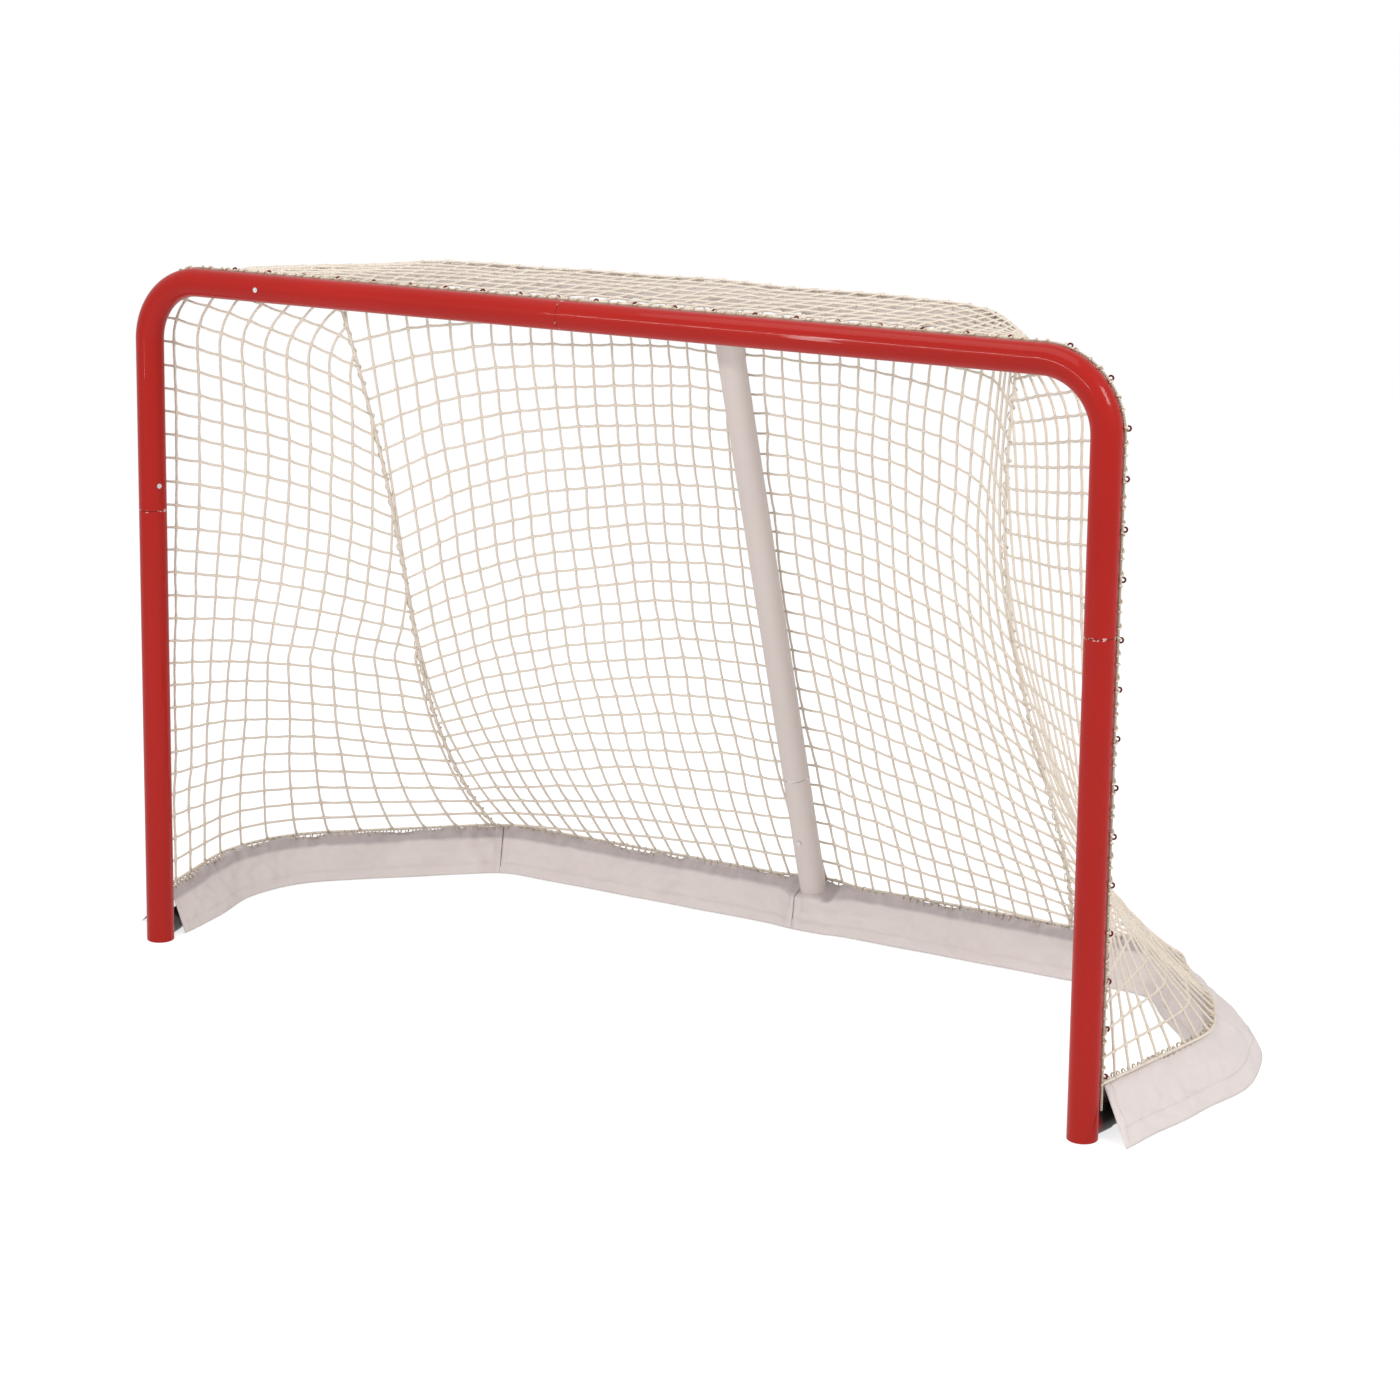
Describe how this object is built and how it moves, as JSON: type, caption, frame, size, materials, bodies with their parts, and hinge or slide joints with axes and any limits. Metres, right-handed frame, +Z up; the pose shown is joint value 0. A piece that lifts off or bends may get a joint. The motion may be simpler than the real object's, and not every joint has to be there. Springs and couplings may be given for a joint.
{
  "type": "hockey goal net",
  "caption": "Full-size ice hockey goal: red tube mouth on a knock-down steel frame, laced white net, centre post and a cloth skirt round the base",
  "frame": {"origin": "on the floor, midway between the goal's left and right, and midway between its front and rear edges", "axes": "+X to the right as seen from in front of the goal mouth, +Y into the goal, +Z up"},
  "size_m": [2.1665, 0.853, 1.2744],
  "materials": {
    "red_paint": "gloss",
    "hook_paint": "gloss",
    "pale_paint": "satin",
    "black_paint": "satin",
    "plated_steel": "satin",
    "net_twine": "matte",
    "skirt_cloth": "matte"
  },
  "bodies": {
    "root": {"crossbar_left": "red_paint", "crossbar_right": "red_paint", "post_left": "red_paint", "post_right": "red_paint", "crossbar_sleeve": "plated_steel", "post_sleeve_left": "plated_steel", "post_sleeve_right": "plated_steel", "foot_cap_left": "red_paint", "foot_cap_right": "red_paint", "shelf_socket_left": "red_paint", "shelf_socket_right": "red_paint", "shelf_left": "pale_paint", "shelf_right": "pale_paint", "shelf_sleeve": "plated_steel", "base_socket_left": "red_paint", "base_socket_right": "red_paint", "base_left": "black_paint", "base_right": "black_paint", "base_sleeve": "plated_steel", "centre_post_upper": "pale_paint", "centre_post_lower": "pale_paint", "centre_post_sleeve": "plated_steel", "crossbar_hooks": "hook_paint", "post_hooks_left": "hook_paint", "post_hooks_right": "hook_paint", "frame_lacing": "net_twine", "post_joint_screws": "plated_steel", "crossbar_screw": "plated_steel", "centre_post_screw": "plated_steel", "net_top": "net_twine", "net_back": "net_twine", "net_left": "net_twine", "net_right": "net_twine", "skirt_left": "skirt_cloth", "skirt_back_left": "skirt_cloth", "skirt_back_right": "skirt_cloth", "skirt_right": "skirt_cloth"}
  },
  "joints": []
}
